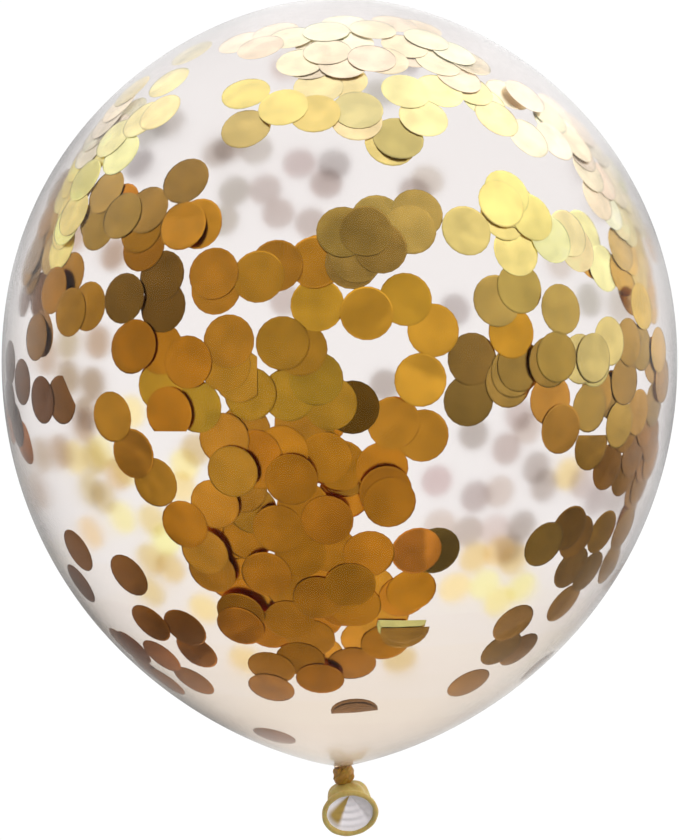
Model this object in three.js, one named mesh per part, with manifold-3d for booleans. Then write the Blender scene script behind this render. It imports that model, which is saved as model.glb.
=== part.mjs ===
// Confetti balloon: one latex balloon tied with an overhand knot, lying on its side.
// Millimetres, +Z up, crown towards +Y and knot towards -Y.
// The origin is the centre of the small flat spot that the balloon lies on.
// The film is a sealed vessel, so the body is solid, and the confetti isn't part of this model.

import * as THREE from 'three';
import { mergeVertices } from 'three/addons/utils/BufferGeometryUtils.js';
import Module from 'manifold-3d';

// Body of revolution. Lengths along the axis are measured from the widest ring.
const WIDEST_RADIUS = 152.5; // half of a balloon of 12 inches
const CROWN_LENGTH = 166;
const SHOULDER_LENGTH = 186; // to the foot of the shallow cone above the neck
const CROWN_ROUND = 0.35; // handle at the crown, as a share of the widest radius
const CROWN_SIDE = 0.68; // handle at the widest ring, as a share of the crown length
const SHOULDER_SIDE = 0.45; // handle at the widest ring, as a share of the shoulder length
const CONE_HANDLE = 98; // handle along the shallow cone
const CONE_SLOPE = THREE.MathUtils.degToRad(17.7);
const BODY_SIDES = 64;
const CROWN_STEPS = 16;
const SHOULDER_STEPS = 20;

// Neck: the cone rounds into a thin film tube that runs into the knot.
const NECK_RADIUS = 3.7;
const NECK_FILLET = 2;
const FILLET_STEPS = 4;

// Overhand knot: a core with one turn wrapped round it at a slant.
const KNOT_LENGTH = 9.3;
const KNOT_CORE_RADIUS = 4.7;
const WRAP_RADIUS = 3.6;
const WRAP_TUBE_RADIUS = 1.9;
const WRAP_SLANT = THREE.MathUtils.degToRad(28);
const KNOT_SIDES = 20;
const KNOT_RINGS = 12;
const WRAP_SIDES = 10;
const WRAP_STEPS = 28;

// Tail: an open cup with a rolled rim, bent upwards so that its mouth looks up.
const TAIL_LENGTH = 15.5; // knot to the plane of the rim, along the bent centre line
const TAIL_BEND = THREE.MathUtils.degToRad(66);
const RIM_RADIUS = 11.85; // to the middle of the rolled bead
const BEAD_RADIUS = 1.25;
const COLLAR_RADIUS = 8.3;
const COLLAR_STATION = 3.2;
const WALL = 0.6; // the tail's latex isn't stretched, so it is thicker than the body's film
const TAIL_SIDES = 32;
const TAIL_STEPS = 7;
const BEAD_SIDES = 8;

// The knot and the tail lean to +X, as if turned about a point just above the neck.
const LEAN = THREE.MathUtils.degToRad(11);
const LEAN_STATION = -182;

const FLAT_SPOT_RADIUS = 24;
const MERGE_DISTANCE = 1e-4;

const wasm = await Module();
wasm.setup();

const FLAT_SPOT_DEPTH = WIDEST_RADIUS - Math.sqrt(WIDEST_RADIUS ** 2 - FLAT_SPOT_RADIUS ** 2);
const AXIS_HEIGHT = WIDEST_RADIUS - FLAT_SPOT_DEPTH;
const ARC_RADIUS = TAIL_LENGTH / TAIL_BEND;
const NECK_STATION = -SHOULDER_LENGTH - NECK_FILLET;
const KNOT_STATION = NECK_STATION - KNOT_LENGTH / 2 + 1;
const TAIL_STATION = KNOT_STATION - KNOT_LENGTH / 2 + 1;

// A closed geometry with its shared corners merged, as a solid that can be joined and cut.
function solidOf(geometry) {
  const bare = new THREE.BufferGeometry();
  bare.setAttribute('position', geometry.getAttribute('position'));
  bare.setIndex(geometry.getIndex());
  const merged = mergeVertices(bare, MERGE_DISTANCE);
  const index = merged.getIndex().array;
  const corners = [];
  for (let i = 0; i < index.length; i += 3) {
    const [a, b, c] = index.slice(i, i + 3);
    if (a !== b && b !== c && c !== a) corners.push(a, b, c);
  }
  return new wasm.Manifold(new wasm.Mesh({
    numProp: 3,
    vertProperties: new Float32Array(merged.getAttribute('position').array),
    triVerts: new Uint32Array(corners),
  }));
}

// A joined solid back as geometry for a mesh.
function geometryOf(solid) {
  const mesh = solid.getMesh();
  const geometry = new THREE.BufferGeometry();
  geometry.setAttribute('position', new THREE.BufferAttribute(mesh.vertProperties, 3));
  geometry.setIndex(new THREE.BufferAttribute(mesh.triVerts, 1));
  geometry.computeVertexNormals();
  return geometry;
}

// The body's half section, from the foot of the neck up to the crown: a tube, a fillet into the
// shallow cone, one curve out to the widest ring and one over the crown.
function bodyProfile() {
  const coneFoot = NECK_RADIUS + NECK_FILLET;
  const fillet = new THREE.QuadraticBezierCurve(
    new THREE.Vector2(NECK_RADIUS, NECK_STATION),
    new THREE.Vector2(NECK_RADIUS, -SHOULDER_LENGTH),
    new THREE.Vector2(coneFoot, -SHOULDER_LENGTH),
  );
  const shoulder = new THREE.CubicBezierCurve(
    new THREE.Vector2(coneFoot, -SHOULDER_LENGTH),
    new THREE.Vector2(
      coneFoot + CONE_HANDLE * Math.cos(CONE_SLOPE),
      -SHOULDER_LENGTH + CONE_HANDLE * Math.sin(CONE_SLOPE),
    ),
    new THREE.Vector2(WIDEST_RADIUS, -SHOULDER_SIDE * SHOULDER_LENGTH),
    new THREE.Vector2(WIDEST_RADIUS, 0),
  );
  const crown = new THREE.CubicBezierCurve(
    new THREE.Vector2(WIDEST_RADIUS, 0),
    new THREE.Vector2(WIDEST_RADIUS, CROWN_SIDE * CROWN_LENGTH),
    new THREE.Vector2(CROWN_ROUND * WIDEST_RADIUS, CROWN_LENGTH),
    new THREE.Vector2(0, CROWN_LENGTH),
  );
  return [
    new THREE.Vector2(0, KNOT_STATION),
    new THREE.Vector2(NECK_RADIUS, KNOT_STATION),
    ...fillet.getPoints(FILLET_STEPS),
    ...shoulder.getSpacedPoints(SHOULDER_STEPS).slice(1),
    ...crown.getSpacedPoints(CROWN_STEPS).slice(1),
  ];
}

function body() {
  return solidOf(new THREE.LatheGeometry(bodyProfile(), BODY_SIDES));
}

// Turns a geometry that lies along the body's axis towards +X, about LEAN_STATION.
function leaned(geometry) {
  return geometry
    .translate(0, -LEAN_STATION, 0)
    .rotateZ(LEAN)
    .translate(0, LEAN_STATION, 0);
}

// The knot's core, an ellipsoid, and the turn of latex that wraps it at a slant.
function knot() {
  const core = new THREE.SphereGeometry(1, KNOT_SIDES, KNOT_RINGS)
    .scale(KNOT_CORE_RADIUS, KNOT_LENGTH / 2, KNOT_CORE_RADIUS)
    .translate(0, KNOT_STATION, 0);
  const wrap = new THREE.TorusGeometry(WRAP_RADIUS, WRAP_TUBE_RADIUS, WRAP_SIDES, WRAP_STEPS)
    .rotateX(Math.PI / 2)
    .rotateZ(WRAP_SLANT)
    .translate(0, KNOT_STATION, 0);
  return solidOf(leaned(core)).add(solidOf(leaned(wrap)));
}

// The cup's half section before it is bent, from the knot out to the rim and back up the inside.
function cupProfile() {
  const outside = new THREE.SplineCurve([
    new THREE.Vector2(0.75 * NECK_RADIUS, 0),
    new THREE.Vector2(COLLAR_RADIUS, COLLAR_STATION),
    new THREE.Vector2(RIM_RADIUS - 2 * WALL, 0.6 * TAIL_LENGTH),
    new THREE.Vector2(RIM_RADIUS + WALL / 2, TAIL_LENGTH),
  ]).getPoints(TAIL_STEPS);
  const inside = outside.map((point) => new THREE.Vector2(
    point.x - WALL,
    point.y + 2 * WALL * (1 - point.y / TAIL_LENGTH),
  ));
  const section = [
    new THREE.Vector2(0, 0),
    ...outside,
    ...inside.reverse(),
    new THREE.Vector2(0, 2 * WALL),
  ];
  return section.map((point) => new THREE.Vector2(point.x, -point.y)).reverse();
}

// Bends a geometry along -Y upwards in a circular arc that turns by TAIL_BEND over TAIL_LENGTH.
function bendUp(geometry) {
  const position = geometry.getAttribute('position');
  for (let i = 0; i < position.count; i += 1) {
    const turn = -position.getY(i) / ARC_RADIUS;
    const offset = position.getZ(i) - ARC_RADIUS;
    position.setY(i, offset * Math.sin(turn));
    position.setZ(i, offset * Math.cos(turn) + ARC_RADIUS);
  }
  return geometry;
}

// The tail: the bent cup with the rolled bead of the mouth at its end.
function tail() {
  const cup = bendUp(new THREE.LatheGeometry(cupProfile(), TAIL_SIDES))
    .translate(0, TAIL_STATION, 0);
  const bead = new THREE.TorusGeometry(RIM_RADIUS, BEAD_RADIUS, BEAD_SIDES, TAIL_SIDES)
    .rotateX(Math.PI / 2 - TAIL_BEND)
    .translate(
      0,
      TAIL_STATION - ARC_RADIUS * Math.sin(TAIL_BEND),
      ARC_RADIUS * (1 - Math.cos(TAIL_BEND)),
    );
  return solidOf(leaned(cup)).add(solidOf(leaned(bead)));
}

// Everything under the flat spot, to be cut away.
function underFlatSpot() {
  const width = 2 * WIDEST_RADIUS;
  return solidOf(new THREE.BoxGeometry(width, width, 2 * FLAT_SPOT_DEPTH)
    .translate(0, 0, -AXIS_HEIGHT - FLAT_SPOT_DEPTH));
}

function latexBalloon() {
  const solid = body().add(knot()).add(tail()).subtract(underFlatSpot());
  const material = new THREE.MeshStandardMaterial({
    color: 0xece4e6,
    roughness: 0.15,
    metalness: 0,
    transparent: true,
    opacity: 0.5,
  });
  const mesh = new THREE.Mesh(geometryOf(solid), material);
  mesh.name = 'latex_balloon';
  mesh.position.z = AXIS_HEIGHT;
  return mesh;
}

const balloon = new THREE.Group();
balloon.add(latexBalloon());

export default balloon;
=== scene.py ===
"""Confetti balloon: a clear latex balloon tied with a knot, with gold foil discs sealed in it.

It lies on its side on a white table, crown towards +Y, and the camera looks straight down.
Lengths in the dataclasses are in millimetres and become metres when a mesh is made.
"""

import logging
import math
from dataclasses import dataclass
from enum import Enum

import bpy
import numpy as np
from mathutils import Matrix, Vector


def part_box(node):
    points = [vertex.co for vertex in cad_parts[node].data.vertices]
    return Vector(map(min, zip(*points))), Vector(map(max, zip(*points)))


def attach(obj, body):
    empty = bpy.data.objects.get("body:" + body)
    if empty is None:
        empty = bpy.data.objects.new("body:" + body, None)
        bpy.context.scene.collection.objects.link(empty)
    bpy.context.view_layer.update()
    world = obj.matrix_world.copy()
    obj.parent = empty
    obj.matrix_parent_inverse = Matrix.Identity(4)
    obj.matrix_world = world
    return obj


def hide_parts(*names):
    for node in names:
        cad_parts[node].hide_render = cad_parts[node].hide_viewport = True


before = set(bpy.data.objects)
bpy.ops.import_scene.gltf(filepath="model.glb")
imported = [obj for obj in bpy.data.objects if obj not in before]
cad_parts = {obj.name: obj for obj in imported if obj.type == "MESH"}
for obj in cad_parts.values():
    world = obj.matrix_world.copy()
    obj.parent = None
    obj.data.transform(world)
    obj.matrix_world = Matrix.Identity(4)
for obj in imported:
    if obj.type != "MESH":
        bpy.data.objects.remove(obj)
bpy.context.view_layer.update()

log = logging.getLogger("confetti_balloon")

MM = 0.001
BODY = "root"
NODE = "latex_balloon"
SEED = 12
PHOTO_WIDTH = 679
PHOTO_HEIGHT = 840

Array = np.ndarray
Pixel = tuple[int, int]
Shell = tuple[Array, list[Array]]
Tree = bpy.types.NodeTree
Socket = bpy.types.NodeSocket


class Wall(Enum):
    """Which side of the balloon a disc clings to, seen from the camera."""

    NEAR = "near"
    FAR = "far"


class Form(Enum):
    """How a foil disc is bent: crease place along the disc, as a share of its radius, and turn."""

    FLAT = (0.0, 0.0)
    CREASED = (0.2, 12.0)
    FOLDED_HALF = (0.0, 180.0)
    FOLDED_EDGE = (-0.45, 180.0)
    FOLDED_TIP = (-0.7, 180.0)


class Tint(Enum):
    """Colours of the foil, as sRGB hex values, with painted light and shade in them.

    The pale ones stand for foil that mirrors bright light and the browns for foil that mirrors dark
    surroundings; the greys, mauves, tans and straws of the far wall are painted haze, the veil of
    light that the near film lays over it.
    """

    CREAM = "#fff1d2"
    PALE = "#ffefb2"
    LEMON = "#ffea94"
    OLIVE = "#ffd975"
    MOSS = "#ffcd68"
    GOLD = "#ffc340"
    AMBER = "#ffb63d"
    ORANGE = "#ffad31"
    UMBER = "#ffc055"
    CHESTNUT = "#ffa540"
    GREY = "#e3dedb"
    MAUVE = "#dccebf"
    TAN = "#efe4cb"
    STRAW = "#fff5d4"


def linear(colour: str) -> tuple[float, float, float, float]:
    """Turns an sRGB hex value into linear RGBA.

    Args:
        colour: six hex digits after a hash sign.

    Returns:
        Red, green, blue and an alpha of one, each from 0 to 1.
    """
    shares = [int(colour[i : i + 2], 16) / 255 for i in (1, 3, 5)]
    curve = [s / 12.92 if s <= 0.04045 else ((s + 0.055) / 1.055) ** 2.4 for s in shares]
    return (curve[0], curve[1], curve[2], 1.0)


def add_node(tree: Tree, kind: str, inputs: dict | None = None, **settings) -> bpy.types.Node:
    """Adds a node, sets its properties, and fills or links its inputs.

    Args:
        tree: the node tree that takes the node.
        kind: the node's type name, without the ShaderNode prefix.
        inputs: for each input name or number, a value or the output socket that feeds it.
        **settings: the node's own properties.

    Returns:
        The new node.
    """
    node = tree.nodes.new("ShaderNode" + kind)
    for name, value in settings.items():
        setattr(node, name, value)
    for key, value in (inputs or {}).items():
        if isinstance(value, Socket):
            tree.links.new(value, node.inputs[key])
        else:
            node.inputs[key].default_value = value
    return node


def new_material(name: str) -> tuple[bpy.types.Material, Tree]:
    """Makes an empty node material and returns it with its tree."""
    material = bpy.data.materials.new(name)
    material.use_nodes = True
    material.node_tree.nodes.clear()
    return material, material.node_tree


def show(tree: Tree, shader: bpy.types.Node) -> None:
    """Puts a shader on the material's surface."""
    add_node(tree, "OutputMaterial", {"Surface": shader.outputs[0]})


def mesh_layer(tree: Tree, name: str, output: str) -> Socket:
    """What a mesh's own layer holds, from one output of an Attribute node."""
    node = add_node(tree, "Attribute", attribute_name=name, attribute_type="GEOMETRY")
    return node.outputs[output]


def noise(tree: Tree, place: Socket, scale: float, detail: float, roughness: float = 0.5) -> Socket:
    """A noise texture's height, from 0 to 1."""
    inputs = {"Vector": place, "Scale": scale, "Detail": detail, "Roughness": roughness}
    return add_node(tree, "TexNoise", inputs).outputs[0]


def bump(tree: Tree, height: Socket, strength: float, depth: float, **inputs: Socket) -> Socket:
    """The normal bent by a height that stands for a depth in millimetres."""
    inputs |= {"Height": height, "Strength": strength, "Distance": depth * MM}
    return add_node(tree, "Bump", inputs).outputs[0]


def ramp(
    tree: Tree, value: Socket, start: float, full: float, low: float, high: float, kind: str = "SMOOTHSTEP"
) -> Socket:
    """A value turned from one range to another: low up to the start, and high from full on."""
    inputs = {"Value": value, "From Min": start, "From Max": full, "To Min": low, "To Max": high}
    return add_node(tree, "MapRange", inputs, interpolation_type=kind).outputs[0]


def reckon(tree: Tree, operation: str, first: Socket, second: float | Socket) -> Socket:
    """The result of a Math node."""
    return add_node(tree, "Math", {0: first, 1: second}, operation=operation).outputs[0]


def vector(tree: Tree, operation: str, first: Socket, **inputs) -> bpy.types.Node:
    """A Vector Math node, whose second vector is named other."""
    values = {1 if name == "other" else name: value for name, value in inputs.items()}
    return add_node(tree, "VectorMath", {0: first} | values, operation=operation)


def blend_colours(tree: Tree, share: Socket, first: str, second: str) -> Socket:
    """A blend of two sRGB hex colours.

    The mix node keeps a socket for each data type, so the colour ones are set by number.
    """
    inputs = {"Factor": share, 6: linear(first), 7: linear(second)}
    return add_node(tree, "Mix", inputs, data_type="RGBA").outputs[2]


def bezier(handles: list[tuple[float, float]], steps: int) -> Array:
    """Points of a Bezier curve, by repeated blends of neighbouring handles.

    Args:
        handles: the control points, start and end included.
        steps: how many equal steps of the parameter.

    Returns:
        An array of steps + 1 points.
    """
    t = np.linspace(0, 1, steps + 1)[:, None, None]
    points = np.asarray(handles, float)[None, :, :].repeat(steps + 1, axis=0)
    while points.shape[1] > 1:
        points = points[:, :-1] * (1 - t) + points[:, 1:] * t
    return points[:, 0]


def smooth(value: Array, low: float, high: float) -> Array:
    """A smooth step from 0 at low to 1 at high: 3 t squared less 2 t cubed."""
    t = np.clip((value - low) / (high - low), 0, 1)
    return t * t * (3 - 2 * t)


def unit(vectors: Array) -> Array:
    """Each row divided by its length."""
    return vectors / np.linalg.norm(vectors, axis=-1, keepdims=True)


def turns(count: int) -> Array:
    """Equal steps of a full turn, from zero."""
    return np.linspace(0, 2 * math.pi, count, endpoint=False)


def mesh_piece(name: str, shells: list[Shell], *finishes: bpy.types.Material) -> bpy.types.Object:
    """Joins closed shells in one smooth-shaded object at the origin.

    Args:
        name: the piece's name.
        shells: corners in millimetres and blocks of faces, for each shell.
        *finishes: the materials, in the order of their numbers.

    Returns:
        The object, with its place in its mesh, in metres.
    """
    mesh = bpy.data.meshes.new(name)
    corners = np.vstack([shell[0] for shell in shells])
    polygons = []
    start = 0
    for own, blocks in shells:
        for block in blocks:
            polygons.extend((block + start).tolist())
        start += len(own)
    mesh.from_pydata((corners * MM).tolist(), [], polygons)
    mesh.update()
    mesh.shade_smooth()
    for finish in finishes:
        mesh.materials.append(finish)
    piece = bpy.data.objects.new(name, mesh)
    bpy.context.scene.collection.objects.link(piece)
    return piece


def grid_quads(rows: int, columns: int, wrap_rows: bool = False) -> Array:
    """Quads of a grid whose columns close round: each corner with its neighbours in both ways.

    Args:
        rows: rings along the surface.
        columns: corners in each ring.
        wrap_rows: joins the last ring to the first.

    Returns:
        An array of four corner numbers for each quad.
    """
    row, column = np.meshgrid(np.arange(rows - (not wrap_rows)), np.arange(columns), indexing="ij")
    here, below = row * columns, (row + 1) % rows * columns
    beside = (column + 1) % columns
    quads = [here + column, here + beside, below + beside, below + column]
    return np.stack(quads, axis=-1).reshape(-1, 4)


def capped(rings: Array, start: Array, end: Array, inward: bool = False) -> Shell:
    """A closed shell from rings, with a fan of triangles to a tip at each end.

    Args:
        rings: an array of rings, corners and coordinates.
        start: the tip before the first ring.
        end: the tip after the last ring.
        inward: turns the faces to point into the shell.

    Returns:
        The corners and the blocks of faces.
    """
    count, columns = rings.shape[:2]
    corners = np.vstack([rings.reshape(-1, 3), start, end])
    column = np.arange(columns)
    beside = (column + 1) % columns
    last = (count - 1) * columns
    head = np.stack([np.full(columns, count * columns), beside, column], axis=1)
    foot = np.stack([np.full(columns, count * columns + 1), last + column, last + beside], axis=1)
    blocks = [grid_quads(count, columns), head, foot]
    volume = sum(shell_volume(corners, block) for block in blocks)
    if (volume < 0) != inward:
        blocks = [block[:, ::-1] for block in blocks]
    return corners, blocks


def looped(points: Array) -> Shell:
    """A closed ring tube from rings of points, with its faces outwards."""
    corners = points.reshape(-1, 3)
    quads = grid_quads(*points.shape[:2], wrap_rows=True)
    if shell_volume(corners, quads) < 0:
        quads = quads[:, ::-1]
    return corners, [quads]


def shell_volume(corners: Array, faces: Array) -> float:
    """Six times the volume under the faces: the sum of the triple products of their triangles."""
    a, b, c = (corners[faces[:, i]] for i in range(3))
    total = np.einsum("ij,ij->", a, np.cross(b, c))
    if faces.shape[1] == 4:
        d = corners[faces[:, 3]]
        total += np.einsum("ij,ij->", a, np.cross(c, d))
    return float(total)


@dataclass(frozen=True)
class BodyShape:
    """The blown-up body: a profile turned round the balloon's axis, which runs along +Y."""

    widest_radius: float
    crown_length: float
    axis_height: float
    shoulder_length: float = 186.0
    crown_round: float = 0.35
    crown_side: float = 0.68
    shoulder_side: float = 0.45
    cone_handle: float = 98.0
    cone_slope: float = math.radians(17.7)
    neck_radius: float = 3.7
    neck_fillet: float = 2.0
    lean: float = math.radians(11)
    lean_station: float = -182.0
    fillet_steps: int = 6
    fine_steps: int = 400
    ray_reach: tuple[float, float] = (0.4, 1.6)
    ray_steps: int = 900
    halvings: int = 18
    steepest: float = 20.0
    slope_step: float = 0.5
    chunk: int = 2000

    @classmethod
    def from_frame(cls) -> "BodyShape":
        """Reads the widest radius, the crown and the axis off the CAD node's box."""
        low, high = (np.array(corner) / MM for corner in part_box(NODE))
        radius = (high[0] - low[0]) / 2
        return cls(widest_radius=radius, crown_length=high[1], axis_height=high[2] - radius)

    def profile(self, shoulder_steps: int, crown_steps: int) -> Array:
        """Radius and station from the neck to the crown.

        A quarter-round fillet leaves the neck, one cubic Bezier runs along the shallow cone and out
        to the widest ring, and one closes over the crown.
        """
        foot = self.neck_radius + self.neck_fillet
        neck = -self.shoulder_length
        cone = (
            foot + self.cone_handle * math.cos(self.cone_slope),
            neck + self.cone_handle * math.sin(self.cone_slope),
        )
        tube, widest, top = self.neck_radius, self.widest_radius, self.crown_length
        fillet = bezier([(tube, neck - self.neck_fillet), (tube, neck), (foot, neck)], self.fillet_steps)
        out = [(foot, neck), cone, (widest, self.shoulder_side * neck), (widest, 0)]
        over = [(widest, 0), (widest, self.crown_side * top), (self.crown_round * widest, top), (0, top)]
        return np.vstack([fillet, bezier(out, shoulder_steps)[1:], bezier(over, crown_steps)[1:]])

    def lean_shift(self, station: Array) -> Array:
        """How far the axis is off to +X below the lean station: the way past it by the lean's tangent."""
        return np.clip(self.lean_station - station, 0, None) * math.tan(self.lean)

    def radius_at(self, station: Array) -> Array:
        """The body's radius at stations along the axis, by straight lines between fine steps."""
        fine = self.profile(self.fine_steps, self.fine_steps)
        return np.interp(station, fine[:, 1], fine[:, 0], left=0, right=0)

    def inside(self, points: Array) -> Array:
        """How far points lie inside the body, measured across the axis: radius less distance."""
        across = np.hypot(points[..., 0], points[..., 2] - self.axis_height)
        return self.radius_at(points[..., 1]) - across

    def normals(self, points: Array) -> Array:
        """Outward normals: away from the axis, leaned against the profile's slope."""
        step = self.slope_step
        rise = (self.radius_at(points[:, 1] + step) - self.radius_at(points[:, 1] - step)) / (2 * step)
        rise = np.clip(rise, -self.steepest, self.steepest)
        across = points[:, [0, 2]] - [0, self.axis_height]
        across = across / np.linalg.norm(across, axis=1, keepdims=True)
        return unit(np.stack([across[:, 0], -rise, across[:, 1]], axis=1))

    def depth_inside(self, points: Array) -> tuple[Array, Array]:
        """How deep points lie under the wall, and the way inwards there.

        The nearest point of the fine profile is found for each point, and the depth is the way to it
        along that point's inward normal.

        Args:
            points: corners in millimetres, any number of axes before the last.

        Returns:
            One depth and one inward unit vector for each point.
        """
        fine = self.profile(self.fine_steps, self.fine_steps)
        slope = np.gradient(fine, axis=0)
        inward = unit(np.stack([-slope[:, 1], slope[:, 0]], axis=1))
        flat = points.reshape(-1, 3)
        offset = flat[:, [0, 2]] - [0, self.axis_height]
        across = np.linalg.norm(offset, axis=1)
        section = np.stack([across, flat[:, 1]], axis=1)
        nearest = np.concatenate(
            [
                ((part[:, None, :] - fine[None, :, :]) ** 2).sum(axis=2).argmin(axis=1)
                for part in np.array_split(section, max(1, len(section) // self.chunk))
            ]
        )
        depth = np.einsum("ij,ij->i", section - fine[nearest], inward[nearest])
        radial = offset / np.clip(across, 1e-6, None)[:, None]
        way = inward[nearest]
        vectors = np.stack([radial[:, 0] * way[:, 0], way[:, 1], radial[:, 1] * way[:, 0]], axis=1)
        return depth.reshape(points.shape[:-1]), vectors.reshape(points.shape)

    def hits(self, eye: Array, rays: Array, near: Array) -> Array:
        """Where rays enter or leave the body.

        Steps along each ray find the first or the last point inside, and halving closes in on the wall.

        Args:
            eye: where the rays start.
            rays: their directions.
            near: true for the point of entry, false for the point of exit.

        Returns:
            One point on the wall for each ray.
        """
        distance = np.linspace(*self.ray_reach, self.ray_steps) * (eye[2] - self.axis_height)
        within = self.inside(eye + rays[:, None, :] * distance[None, :, None]) > 0
        first = within.argmax(axis=1)
        last = within.shape[1] - 1 - within[:, ::-1].argmax(axis=1)
        outer = distance[np.where(near, first - 1, np.minimum(last + 1, len(distance) - 1))]
        inner = distance[np.where(near, first, last)]
        for _ in range(self.halvings):
            middle = (outer + inner) / 2
            is_in = self.inside(eye + rays * middle[:, None]) > 0
            inner = np.where(is_in, middle, inner)
            outer = np.where(is_in, outer, middle)
        return eye + rays * inner[:, None]


@dataclass(frozen=True)
class PhotoCamera:
    """The photograph's camera, looking straight down at the lying balloon."""

    focal_pixels: float = 1218.0
    distance: float = 570.4
    station: float = -25.5
    sensor: float = 36.0

    def eye(self, shape: BodyShape) -> Array:
        """The camera's place, over the balloon's axis."""
        return np.array([0.0, self.station, shape.axis_height + self.distance])

    def rays(self, pixels: Array) -> Array:
        """Unit directions through pixels of the photograph."""
        right = (pixels[:, 0] - PHOTO_WIDTH / 2) / self.focal_pixels
        up = -(pixels[:, 1] - PHOTO_HEIGHT / 2) / self.focal_pixels
        return unit(np.stack([right, up, -np.ones(len(pixels))], axis=1))

    def build(self, shape: BodyShape) -> None:
        """Adds the camera and makes it the scene's."""
        data = bpy.data.cameras.new("camera")
        data.sensor_fit = "VERTICAL"
        data.sensor_height = self.sensor
        data.lens = self.sensor * self.focal_pixels / PHOTO_HEIGHT
        data.clip_start = 0.01
        camera = bpy.data.objects.new("camera", data)
        camera.location = Vector(self.eye(shape) * MM)
        bpy.context.scene.collection.objects.link(camera)
        bpy.context.scene.camera = camera


@dataclass(frozen=True)
class ClearLatex:
    """Stretched natural latex film: clear and glossy, with a haze that softens what is far behind it."""

    name: str = "clear_stretched_latex"
    tint: str = "#f8f5f4"
    roughness: float = 0.17
    index: float = 1.14

    def material(self) -> bpy.types.Material:
        """Plain see-through values, so that the film stays glass wherever it is shown."""
        material, tree = new_material(self.name)
        values = {
            "Base Color": linear(self.tint),
            "Roughness": self.roughness,
            "IOR": self.index,
            "Transmission Weight": 1.0,
        }
        show(tree, add_node(tree, "BsdfPrincipled", values))
        return material


@dataclass(frozen=True)
class GatheredLatex:
    """Unstretched dipped latex at the knot and tail: amber, waxy, lit through where it is thin."""

    name: str
    thin: str
    thick: str
    roughness: float = 0.38
    streak: float = 1.4
    draw: float = 0.35
    glow: float = 0.35
    glow_depth: float = 1.5

    def material(self) -> bpy.types.Material:
        """Streaks of thicker and thinner rubber along the gathers, with a fine skin of wrinkles."""
        material, tree = new_material(self.name)
        place = add_node(tree, "TexCoord").outputs["Object"]
        scale = (1.0, self.draw, 1.0)
        drawn = add_node(tree, "Mapping", {"Vector": place, "Scale": scale}, vector_type="POINT")
        streaks = noise(tree, drawn.outputs[0], 1 / (self.streak * MM), 3.0, 0.55)
        values = {
            "Base Color": blend_colours(tree, streaks, self.thin, self.thick),
            "Roughness": self.roughness,
            "Subsurface Weight": self.glow,
            "Subsurface Scale": self.glow_depth * MM,
            "Normal": bump(tree, streaks, 0.5, 0.25),
        }
        show(tree, add_node(tree, "BsdfPrincipled", values))
        return material


@dataclass(frozen=True)
class MouthLining:
    """Thin powdered film crumpled in the mouth: lilac white, and ochre where a fold doubles it."""

    film: str = "#efe9ec"
    doubled: str = "#a88a42"
    roughness: float = 0.3
    crease: float = 1.1

    def material(self) -> bpy.types.Material:
        """The colour goes from the film's to the fold's by the mesh's own layer, with fine creases."""
        material, tree = new_material("powdered_latex_lining")
        fold = mesh_layer(tree, "doubled", "Fac")
        creases = noise(tree, add_node(tree, "TexCoord").outputs["Object"], 1 / (self.crease * MM), 3.0)
        values = {
            "Base Color": blend_colours(tree, fold, self.film, self.doubled),
            "Roughness": self.roughness,
            "Normal": bump(tree, creases, 0.5, 0.2),
        }
        show(tree, add_node(tree, "BsdfPrincipled", values))
        return material


@dataclass(frozen=True)
class GoldFoil:
    """Metallised film: a soft mirror that also glows where light comes through.

    Each disc's colour holds painted light and shade besides the foil's gold.
    """

    name: str
    glow_share: float
    roughness: float = 0.26
    ripple: float = 9.0
    # The ripples' height also scales the colour: painted light on their crests and painted shade in their
    # troughs.
    ripple_edges: tuple[float, float] = (0.3, 0.7)
    ripple_shades: tuple[float, float] = (0.86, 1.08)
    rolled_rim: tuple[float, float] = (0.46, 0.5)
    # A thin ring at the rim is darkened: a painted shadow line, where overlapping discs shade each other.
    edge_shadow_band: tuple[float, float] = (0.477, 0.5)
    edge_shadow_level: float = 0.74

    def material(self) -> bpy.types.Material:
        """Each disc's own colour, with painted light and shade in it, is scaled along long ripples as
        painted light and shade, and darkened in a thin ring at the rim as a painted shadow line.
        Long ripples and a rolled rim bend its shine.
        """
        material, tree = new_material(self.name)
        foil_colour_with_painted_light = mesh_layer(tree, "foil_colour_with_painted_light", "Color")
        sway = mesh_layer(tree, "sway", "Vector")
        place = add_node(tree, "TexCoord")
        ripples = noise(tree, place.outputs["Object"], 1 / (self.ripple * MM), 1.0)
        centred = vector(tree, "SUBTRACT", place.outputs["UV"], other=(0.5, 0.5, 0.0))
        reach = vector(tree, "LENGTH", centred.outputs[0]).outputs["Value"]
        swayed = vector(tree, "ADD", add_node(tree, "NewGeometry").outputs["Normal"], other=sway)
        facing = vector(tree, "NORMALIZE", swayed.outputs[0]).outputs[0]
        rolled = bump(tree, ramp(tree, reach, *self.rolled_rim, 1.0, 0.0), 0.6, 0.25, Normal=facing)
        # Painted light and shade along the ripples: the colour is lighter where they are high and darker
        # where they are low.
        shade = ramp(tree, ripples, *self.ripple_edges, *self.ripple_shades, "LINEAR")
        body = vector(tree, "SCALE", foil_colour_with_painted_light, Scale=shade)
        # Painted shadow line: the colour is darkened in a thin ring at the rim.
        edge = ramp(tree, reach, *self.edge_shadow_band, 1.0, self.edge_shadow_level)
        cut = vector(tree, "SCALE", body.outputs[0], Scale=edge)
        values = {
            "Base Color": cut.outputs[0],
            "Metallic": 1.0,
            "Roughness": self.roughness,
            "Normal": bump(tree, ripples, 0.5, 0.6, Normal=rolled),
        }
        mirror = add_node(tree, "BsdfPrincipled", values)
        glow = add_node(tree, "BsdfTranslucent", {"Color": foil_colour_with_painted_light})
        both = {0: self.glow_share, 1: mirror.outputs[0], 2: glow.outputs[0]}
        show(tree, add_node(tree, "MixShader", both))
        return material


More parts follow.
